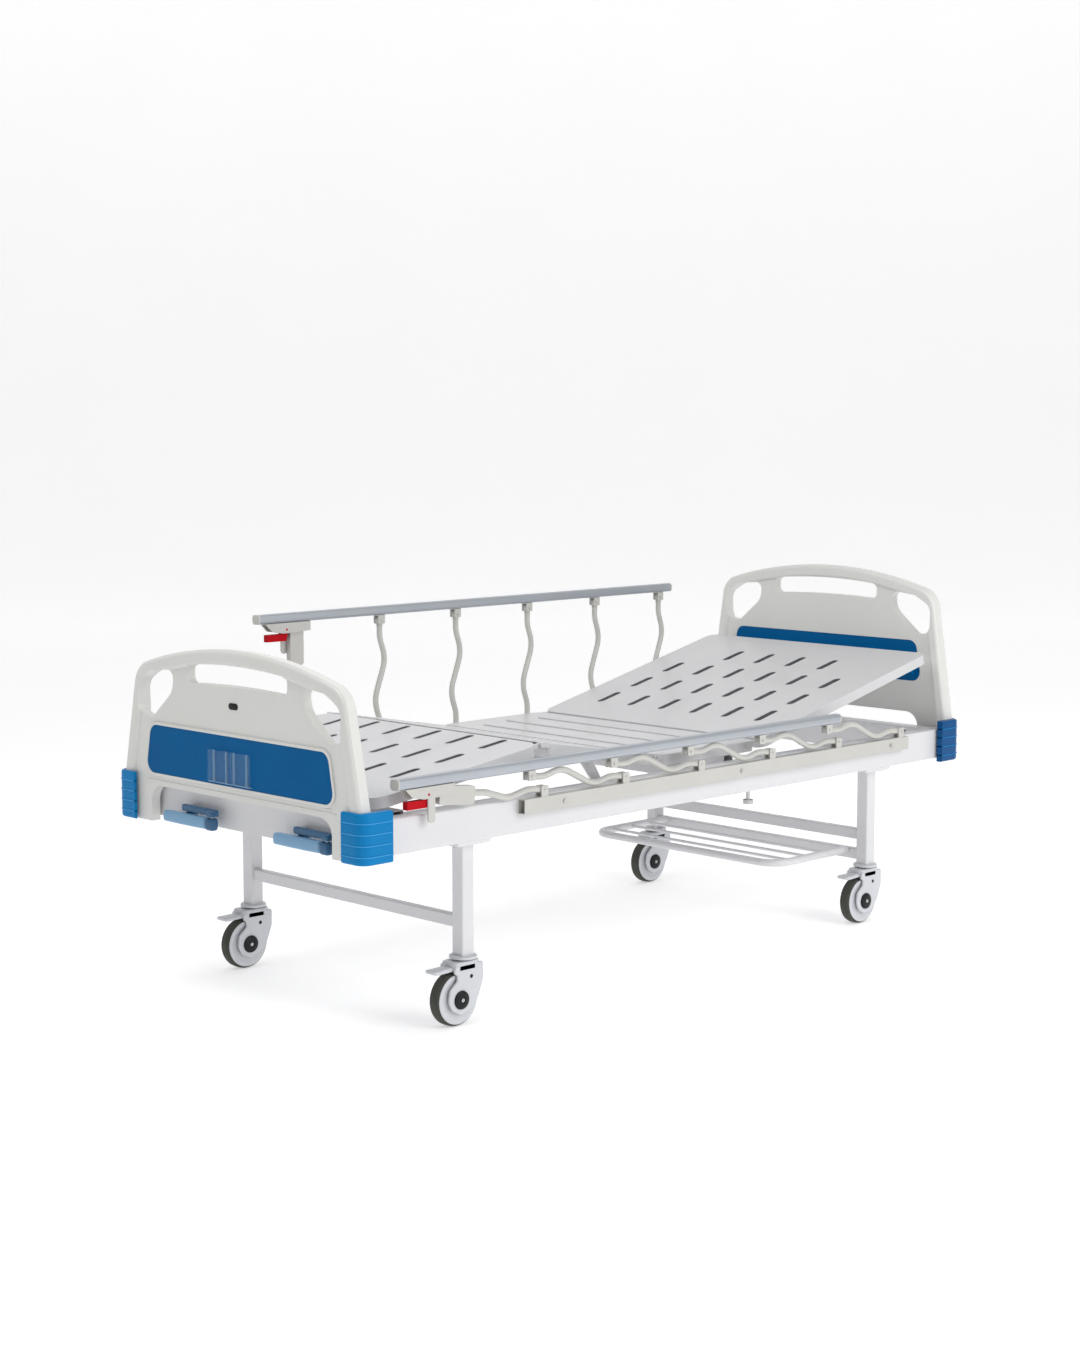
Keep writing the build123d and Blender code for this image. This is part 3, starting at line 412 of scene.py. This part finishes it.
def bumper_shells(end, sign):
    """A bumper with rolled edges, and its four raised ribs, painted a lighter blue than the body as a
    highlight along each ridge.
    """
    low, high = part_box("corner_bumpers")
    tall = high.z - low.z
    foot = [(0.0, 0.0062), (0.0012, 0.0036), (0.0032, 0.0022), (0.006, BUMPER_RIB)]
    body = foot + [(tall - rise, inset) for rise, inset in reversed(foot)]
    shells = [(bumper_skin(end, sign, body), BUMPER_BLUE if end == FOOT else BUMPER_DEEP)]
    root = BUMPER_RIB + 0.0005  # just inside the body, so the rib has no gap under it
    for middle in BUMPER_RIBS:
        band = [(-0.0013, root), (-0.0008, 0.0), (0.0008, 0.0), (0.0013, root)]
        levels = [(middle + rise, inset) for rise, inset in band]
        # The ribs take a lighter blue than their bumper: a painted highlight.
        shells.append((bumper_skin(end, sign, levels), RIB_PAINTED_HIGHLIGHT_BLUE if end == FOOT else BUMPER_BLUE))
    return shells


shells = [shell for end in (FOOT, HEAD) for sign in (NEAR, FAR) for shell in bumper_shells(end, sign)]
finish_piece("ribbed_corner_bumpers", shells, "frame", ["corner_bumpers"])


# ---------------------------------------------------------------- casters
AXLE_X = -30.0  # the axle trails behind the swivel, in millimetres
CHEEK_INNER, CHEEK_THICK = 19.5, 6.5


def caster_fork(name, centre_x, y, wheel):
    """Swivel head, plated bearing ring and stem, moulded cowl, two cheeks and the hub caps."""
    def at(dx, dy, z):
        return Vector((centre_x + dx * MM, y + dy * MM, z * MM))

    shells = []
    head = [(0.01, 158), (29, 158), (32, 156), (32, 151), (29, 150), (0.01, 150)]
    shells.append((lathe(head, (centre_x, y, 0), "Z"), CASTER_NYLON))
    ring = [(0.01, 150.2), (20, 150.2), (20, 146), (0.01, 146)]
    shells.append((lathe(ring, (centre_x, y, 0), "Z"), ZINC))
    stem = [(0.01, 190), (5, 190), (6, 189), (6, 158), (0.01, 158)]
    shells.append((lathe(stem, (centre_x, y, 0), "Z", segments=32), ZINC))
    dome = rounded([(-47, -26), (36, -26), (36, 26), (-47, 26)], [14, 24, 24, 14])
    levels = [(147, -5), (146.5, -2.5), (144.5, -0.8), (141, 0), (129, 0)]
    rings = []
    for z, grow in levels:
        rings.append([at(dx * (1 + grow / 60), dy * (1 + grow / 40), z) for dx, dy in dome])
    shells.append((loft(rings), CASTER_NYLON))
    axle = at(AXLE_X, 0, wheel.z / MM)
    cheek = [(38, 141), (-46, 141), (-49, 124), (-40, 119), (-40, 106), (-62, 88)]
    cheek += [(-66, 62), (-56, 40), (-30, 28), (-2, 36), (22, 60), (38, 100)]
    outline = rounded(cheek, [6, 6, 5, 5, 8, 12, 18, 20, 22, 24, 30, 30], 4)
    for side in (NEAR, FAR):
        origin = at(0, side * CHEEK_INNER, 0)
        shell = plate(outline, origin, (1, 0, 0), (0, 0, 1), -side * CHEEK_THICK, bevel=2.2)
        shells.append((shell, CASTER_NYLON))
        cap = [(0.01, 25.8), (21, 25.8), (21.5, 27), (20.5, 30)]
        cap += [(17, 31.5), (8.5, 31.8), (8, 30.6), (0.01, 30.6)]
        cap = [(r, side * h) for r, h in cap]
        shells.append((lathe(cap, axle, "Y", segments=48), BLACK_NYLON))
        bolt = [(0.01, 30.4), (4.6, 30.4), (4.6, 32.2), (3.8, 33), (1.8, 33), (1.4, 32), (0.01, 32)]
        bolt = [(r, side * h) for r, h in bolt]
        shells.append((lathe(bolt, axle, "Y", segments=32), ZINC))
        pin = [(0.01, 25.0), (4.4, 25.0), (4.6, 26.3), (3.4, 26.6), (0.01, 26.2)]
        pin = [(r, side * h) for r, h in pin]
        shells.append((lathe(pin, at(1, 0, 112), "Y", segments=24), BLACK_NYLON))
    finish_piece(f"{name}_cowled_fork", shells, f"{name}_fork", [f"{name}_fork"])


def caster_wheel(name, centre):
    """Grey tread on a pale nylon disc with a stepped face."""
    tread = [(50.3, -14.8), (58, -14.8), (60.4, -13), (62.2, -9), (62.5, -4)]
    tread += [(r, -h) for r, h in reversed(tread)]
    face = [(5.2, 17), (15, 17), (16.5, 15.6), (33, 14.2), (44, 14.8), (48, 16.9), (55.4, 16.9), (57.2, 15.9)]
    face += [(57.2, 15.0), (50.2, 15.0)]
    disc = face + [(r, -h) for r, h in reversed(face)]
    shells = [
        (lathe(tread, centre, "Y", closed=True, segments=96), TREAD),
        (lathe(disc, centre, "Y", closed=True, segments=96), CASTER_NYLON),
    ]
    finish_piece(f"{name}_treaded_wheel", shells, f"{name}_wheel", [f"{name}_wheel"])


def caster_pedal(name):
    """Duck-bill brake pedal: a thick paddle that widens and turns up at its tip."""
    low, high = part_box(f"{name}_pedal")
    middle = (low.y + high.y) / 2
    root = high.x
    rings = []
    # along the pedal, height, thickness, half width
    stations = [(2, 131, 9, 15), (-10, 132, 11, 16), (-30, 131.5, 10, 17)]
    stations += [(-46, 131, 9.5, 18.5), (-57, 131.5, 9, 18), (-62, 132.5, 5, 13)]
    for dx, z, thick, half in stations:
        rise = thick / 2
        ring = rounded([(-half, -rise), (half, -rise), (half, rise), (-half, rise)], [thick * 0.45] * 4, 4)
        rings.append([Vector((root + (dx - 5) * MM, middle + a * MM, (z + b) * MM)) for a, b in ring])
    shells = [(loft(rings), CASTER_NYLON)]
    for side in (NEAR, FAR):
        stub = [(0.01, side * 15), (3, side * 15), (3, side * 24.4), (0.01, side * 24.4)]
        shells.append((lathe(stub, (root - 5 * MM, middle, 133 * MM), "Y", segments=24), ZINC))
    finish_piece(f"{name}_brake_pedal", shells, f"{name}_pedal", [f"{name}_pedal"])


for end_name in ("foot", "head"):
    for side_name in ("near", "far"):
        caster = f"{side_name}_{end_name}_caster"
        low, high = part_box(f"{caster}_wheel")
        hub = (low + high) / 2
        caster_fork(caster, hub.x - AXLE_X * MM, hub.y, hub)
        caster_wheel(caster, hub)
        caster_pedal(caster)


# ---------------------------------------------------------------- cranks
def grip_skin(centre, start, stop, swell, sharp_end):
    """A rounded-rectangle bar along Y, with softly domed ends."""
    rings = []
    for k in range(29):
        t = k / 28
        near_end = min(t, 1 - t) / sharp_end
        dome = math.sqrt(max(0.0, 1 - (1 - near_end) ** 2)) if near_end < 1 else 1.0
        groove = 0.955 if abs(t - 0.5) < 0.02 else 1.0
        size = (0.30 + 0.70 * dome) * swell * groove * (0.95 + 0.05 * math.sin(math.pi * t))
        ring = []
        for i in range(28):
            a = 2 * math.pi * i / 28
            c, s = math.cos(a), math.sin(a)
            x = math.copysign(abs(c) ** 0.55, c) * 11.5 * size
            z = math.copysign(abs(s) ** 0.55, s) * 14.5 * size - 2.8
            ring.append(Vector((centre.x + x * MM, start + (stop - start) * t, centre.z + z * MM)))
        rings.append(ring)
    return loft(rings)


def grip_piece(name):
    """A moulded grip with a parting groove and a darker collar at its pivot end."""
    low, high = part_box(f"{name}_grip")
    centre = (low + high) / 2
    split = low.y + 0.024
    shells = [
        (grip_skin(centre, split, high.y, 0.94, 0.05), CRANK_BLUE),
        (grip_skin(centre, low.y, split + 0.001, 1.0, 0.12), CRANK_DARK),
    ]
    finish_piece(f"{name}_moulded_grip", shells, f"{name}_grip", [f"{name}_grip"])


CRANK_AXIS_Z, ARM_FACE_X, FOLD_PIN_X = 0.448, -1.053, -1.065


def crank_piece(name):
    """The crank: a waisted arm from its hub to the lug that the grip folds on."""
    low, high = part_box(f"{name}_crank")
    _, arm_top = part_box(f"{name}_grip")
    hub_y, lug_y = high.y - 0.012, low.y + 0.011
    reach = (hub_y - lug_y) / MM
    outline = [(-14, 2), (0, 2), (reach - 20, 3), (reach + 9, 3), (reach + 9, 18), (0, 18), (-14, 18)]
    arm = rounded(outline, [6, 0, 8, 3, 4, 0, 6], 4)
    shells = [(plate(arm, (ARM_FACE_X, hub_y, CRANK_AXIS_Z), (0, -1, 0), (0, 0, 1), 10, bevel=2), CRANK_DARK)]
    lug = rounded([(-11, -10), (10, -10), (10, 12), (-11, 12)], [5, 5, 3, 3], 4)
    origin = (FOLD_PIN_X, lug_y, arm_top.z + 0.0025)
    shells.append((plate(lug, origin, (0, 1, 0), (1, 0, 0), -14, bevel=2), CRANK_DARK))
    hub = [(0.01, -1.5), (10.5, -1.5), (12, 0), (12, 10.5), (0.01, 10.5)]
    hub_at = (low.x + 0.0235, hub_y, CRANK_AXIS_Z)
    shells.append((lathe(hub, hub_at, "X", segments=40), CRANK_DARK))
    spindle = [(0.01, 10), (6, 10), (6, 91), (0.01, 91)]
    shells.append((lathe(spindle, hub_at, "X", segments=32), STEEL))
    pin = [(0.01, 430), (4, 430), (4, 452), (0.01, 452)]
    shells.append((lathe(pin, (FOLD_PIN_X, lug_y, 0), "Z", segments=24), ZINC))
    finish_piece(f"{name}_waisted_crank", shells, f"{name}_crank", [f"{name}_crank"])


for name in ("back", "knee"):
    grip_piece(name)
    crank_piece(name)


# ---------------------------------------------------------------- boards
POCKET_Y, POCKET_Z = 0.018, 0.572


def board_trim():
    """Step lines under the inlay, a blank badge and the clear card pocket on the foot board."""
    shells = []
    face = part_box("foot_board")[0].x + 0.007
    for rise, half in ((0.521, 330), (0.512, 345)):
        path = [(face, -half * MM + 2 * half * MM * k / 12, rise) for k in range(13)]
        shells.append((strip(path, 3.0, 1.6, None, (-1, 0, 0)), ABS_WHITE))
    badge = stadium(34, 15)
    shells.append((plate(badge, (face, 0.010, 0.712), (0, -1, 0), (0, 0, 1), 1.2, bevel=0.5), BLACK_NYLON))
    finish_piece("foot_board_trim", shells, "frame")
    front = face - 0.003
    wall = rounded([(-78, -37), (78, -37), (78, 37), (-78, 37)], [4, 4, 4, 4], 3)
    wall_at = (front - 0.006, POCKET_Y, POCKET_Z)
    shells = [(plate(wall, wall_at, (0, -1, 0), (0, 0, 1), 1.5, bevel=0.4), POCKET)]
    for offset in (-60, -14, 14, 60):
        rib = [(-0.9, -37), (0.9, -37), (0.9, 37), (-0.9, 37)]
        origin = (front, POCKET_Y - offset * MM, POCKET_Z)
        shells.append((plate(rib, origin, (0, -1, 0), (0, 0, 1), 5), POCKET_EDGE))
    base = [(-78, -37), (78, -37), (78, -35.5), (-78, -35.5)]
    shells.append((plate(base, (front, POCKET_Y, POCKET_Z), (0, -1, 0), (0, 0, 1), 5), POCKET_EDGE))
    finish_piece("card_pocket", shells, "frame")


board_trim()


def seat_ridges():
    """Pressed ridges across the seat: low, with round ends."""
    low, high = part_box("seat_section")
    deck_top = JOINTS["back_lift"]["pos_m"][2] + AXIS_DROP
    shells = []
    for share, half in ((0.24, 310), (0.50, 330), (0.76, 310)):
        x = low.x + (high.x - low.x) * share
        outline, origin = stadium(2 * half, 34), (x, 0, deck_top - 0.001)
        shells.append((plate(outline, origin, (0, 1, 0), (-1, 0, 0), 4.2, bevel=2.6, segments=4), DECK_COAT))
    finish_piece("seat_pressed_ridges", shells, "frame")


seat_ridges()


# ---------------------------------------------------------------- deck details, by geometry nodes
def slot_tree(lip_coat, wall_painted_shade):
    """Geometry nodes: a slot's rolled lip and pressed wall at every point, tilted with the section; the wall
    is dark grey as painted shade.
    """
    tree = bpy.data.node_groups.new("pressed_slots", "GeometryNodeTree")
    face = tree.interface
    face.new_socket("Points", in_out="INPUT", socket_type="NodeSocketGeometry")
    labels = ("Length", "Width", "Lip", "Depth", "Tilt")
    for label in labels:
        face.new_socket(label, in_out="INPUT", socket_type="NodeSocketFloat")
    face.new_socket("Slots", in_out="OUTPUT", socket_type="NodeSocketGeometry")
    given = add(tree, "NodeGroupInput")
    length, width, lip, depth, tilt = (given.outputs[label] for label in labels)
    sheet = add(tree, "GeometryNodeCurvePrimitiveQuadrilateral", {"Width": length, "Height": width})
    half = add(tree, "ShaderNodeMath", {0: width}, operation="MULTIPLY")
    half.inputs[1].default_value = 0.499
    sources = {"Curve": sheet.outputs["Curve"], "Radius": half.outputs[0]}
    corner = add(tree, "GeometryNodeFilletCurve", sources, mode="POLY")
    corner.inputs["Count"].default_value = 6
    wire = add(tree, "GeometryNodeCurvePrimitiveCircle", {"Radius": lip})
    wire.inputs["Resolution"].default_value = 8
    wall = add(tree, "GeometryNodeCurvePrimitiveQuadrilateral", {"Width": lip, "Height": depth})
    down = add(tree, "ShaderNodeMath", {0: depth}, operation="MULTIPLY")
    down.inputs[1].default_value = -0.5
    sink = add(tree, "ShaderNodeCombineXYZ", {"Z": down.outputs[0]})
    turn = add(tree, "ShaderNodeCombineXYZ", {"Y": tilt})
    parts = []
    # The lip takes the deck's coat; the wall takes the dark painted shade.
    for profile, offset, coat in ((wire, None, lip_coat), (wall, sink, wall_painted_shade)):
        sources = {"Curve": corner.outputs["Curve"], "Profile Curve": profile.outputs["Curve"]}
        shape = add(tree, "GeometryNodeCurveToMesh", sources).outputs["Mesh"]
        if offset:
            sources = {"Geometry": shape, "Translation": offset.outputs[0]}
            shape = add(tree, "GeometryNodeTransform", sources).outputs["Geometry"]
        sources = {"Points": given.outputs["Points"], "Instance": shape, "Rotation": turn.outputs[0]}
        put = add(tree, "GeometryNodeInstanceOnPoints", sources)
        real = add(tree, "GeometryNodeRealizeInstances", {"Geometry": put.outputs["Instances"]})
        sources = {"Geometry": real.outputs["Geometry"]}
        parts.append(add(tree, "GeometryNodeSetMaterial", sources, Material=coat))
    both = add(tree, "GeometryNodeJoinGeometry")
    for part in parts:
        tree.links.new(part.outputs["Geometry"], both.inputs["Geometry"])
    out = add(tree, "NodeGroupOutput")
    tree.links.new(both.outputs["Geometry"], out.inputs["Slots"])
    return tree


def pressed_slots(name, points, values, body, tree):
    """Runs the slot tree on a cloud of points and keeps the result as a plain mesh."""
    cloud = bpy.data.meshes.new("places")
    cloud.from_pydata(points, [], [])
    seed = bpy.data.objects.new("places", cloud)
    bpy.context.scene.collection.objects.link(seed)
    modifier = seed.modifiers.new("slots", "NODES")
    modifier.node_group = tree
    for item in tree.interface.items_tree:
        if item.name in values and item.in_out == "INPUT":
            modifier[item.identifier] = values[item.name]
    seed.update_tag()
    view = bpy.context.evaluated_depsgraph_get()
    mesh = bpy.data.meshes.new_from_object(seed.evaluated_get(view))
    seed.modifiers.clear()
    bpy.data.objects.remove(seed)
    mesh.name = name
    place_piece(name, mesh, body, 50)


def deck_points(pivot, way, tilt, rows):
    """World points of a section's slots: rows are (distance from the axis, first and last column)."""
    c, s = math.cos(tilt), math.sin(tilt)
    out = []
    for distance, first, last in rows:
        for column in range(first, last + 1):
            x = pivot[0] + way * (distance * c - AXIS_DROP * s)
            z = pivot[2] + distance * s + AXIS_DROP * c
            out.append((x, SLOT_FAR_Y - column * SLOT_PITCH_Y, z))
    return out


def four_rows(first):
    """Four rows from the first distance; the last one has no end columns."""
    return [(first + row * SLOT_PITCH_X, 0 if row < 3 else 1, 5 if row < 3 else 4) for row in range(4)]


back_tilt = math.radians(-JOINTS["back_lift"]["range_deg"][0])
thigh_tilt = math.radians(-JOINTS["knee_lift"]["range_deg"][0])
calf_tilt = -math.asin(THIGH_LENGTH * math.sin(thigh_tilt) / CALF_LENGTH)
SLOT_TREE = slot_tree(DECK_COAT, SLOT_WALL_PAINTED_SHADE)
back_rows = four_rows((BACK_LENGTH - 3 * SLOT_PITCH_X) / 2)
for label, joint, way, tilt, rows in (
    ("back", "back_lift", 1, back_tilt, back_rows),
    ("thigh", "knee_lift", -1, thigh_tilt, [(0.140, 0, 5), (0.277, 0, 5)]),
    ("calf", "calf_follow", -1, calf_tilt, four_rows(0.060)),
):
    points = deck_points(JOINTS[joint]["pos_m"], way, tilt, rows)
    sizes = {"Length": 0.0880, "Width": 0.0240, "Lip": 0.0013, "Depth": 0.010, "Tilt": -way * tilt}
    pressed_slots(f"{label}_pressed_slots", points, sizes, label, SLOT_TREE)


# ---------------------------------------------------------------- camera, light and floor
def point_camera():
    """A long lens at the foot end's near corner, a little above the bed."""
    data = bpy.data.cameras.new("view")
    data.lens, data.sensor_width, data.sensor_fit = 60.92, 36.0, "AUTO"
    data.clip_end = 200
    camera = bpy.data.objects.new("view", data)
    camera.location = (-4.153, -4.066, 1.365)
    yaw, pitch = math.radians(45.17), math.radians(6.55)
    ahead = Vector((math.cos(yaw) * math.cos(pitch), math.sin(yaw) * math.cos(pitch), -math.sin(pitch)))
    camera.rotation_mode = "QUATERNION"
    camera.rotation_quaternion = ahead.to_track_quat("-Z", "Y")
    bpy.context.scene.collection.objects.link(camera)
    bpy.context.scene.camera = camera


GLOW = 0.42  # of the floor and of the surroundings, so that they blend
FLOOR_HALF_WIDTH, FLOOR_FRONT = 40.0, -40.0
SWEEP_START, SWEEP_RADIUS, SWEEP_TOP = 9.0, 5.0, 16.0


def lamp(name, place, target, size, power):
    """A soft square light that looks at a point."""
    data = bpy.data.lights.new(name, "AREA")
    data.shape, data.size, data.energy = "SQUARE", size, power
    light = bpy.data.objects.new(name, data)
    light.location = place
    light.rotation_euler = (Vector(target) - Vector(place)).to_track_quat("-Z", "Y").to_euler()
    bpy.context.scene.collection.objects.link(light)


def pale_floor():
    """A wide, even white floor that sweeps up far behind the bed; a faint glow keeps it evenly white."""
    material, tree, shader = start_material("studio_floor_white", 0.9)
    mottle(tree, shader, ("#f2f2f2", "#eeeeee"), 900)
    shader.inputs["Emission Color"].default_value = linear("#ffffff")
    shader.inputs["Emission Strength"].default_value = GLOW
    ahead, side = Vector((0.705, 0.709, 0)), Vector((-0.709, 0.705, 0))
    profile = [(FLOOR_FRONT, 0.0), (SWEEP_START, 0.0)]
    for k in range(1, 13):
        a = math.pi / 2 * k / 12
        profile.append((SWEEP_START + SWEEP_RADIUS * math.sin(a), SWEEP_RADIUS * (1 - math.cos(a))))
    profile.append((SWEEP_START + SWEEP_RADIUS, SWEEP_TOP))
    edges = (-FLOOR_HALF_WIDTH, FLOOR_HALF_WIDTH)
    points = [ahead * d + Vector((0, 0, h)) + side * w for d, h in profile for w in edges]
    faces = [(2 * i, 2 * i + 2, 2 * i + 3, 2 * i + 1) for i in range(len(profile) - 1)]
    mesh = bpy.data.meshes.new("floor")
    mesh.from_pydata(points, [], faces)
    mesh.polygons.foreach_set("use_smooth", [True] * len(mesh.polygons))
    mesh.materials.append(material)
    floor = bpy.data.objects.new("floor", mesh)
    bpy.context.scene.collection.objects.link(floor)


def studio():
    """Even surroundings, a large key light on the near side, a weak one overhead and a fill at the head."""
    world = bpy.data.worlds.new("studio")
    world.use_nodes = True
    world.node_tree.nodes["Background"].inputs["Color"].default_value = linear("#fbfbfc")
    world.node_tree.nodes["Background"].inputs["Strength"].default_value = GLOW
    bpy.context.scene.world = world
    lamp("key", (0.8, -5.6, 3.2), (0.0, 0.0, 0.5), 4.0, 180)
    lamp("overhead", (0.0, 0.3, 5.0), (0.0, 0.0, 0.5), 4.0, 15)
    lamp("head_fill", (-1.4, 0.0, 3.0), (1.05, 0.0, 0.75), 1.6, 32)
    bpy.context.scene.view_settings.view_transform = "Standard"


point_camera()
studio()
pale_floor()
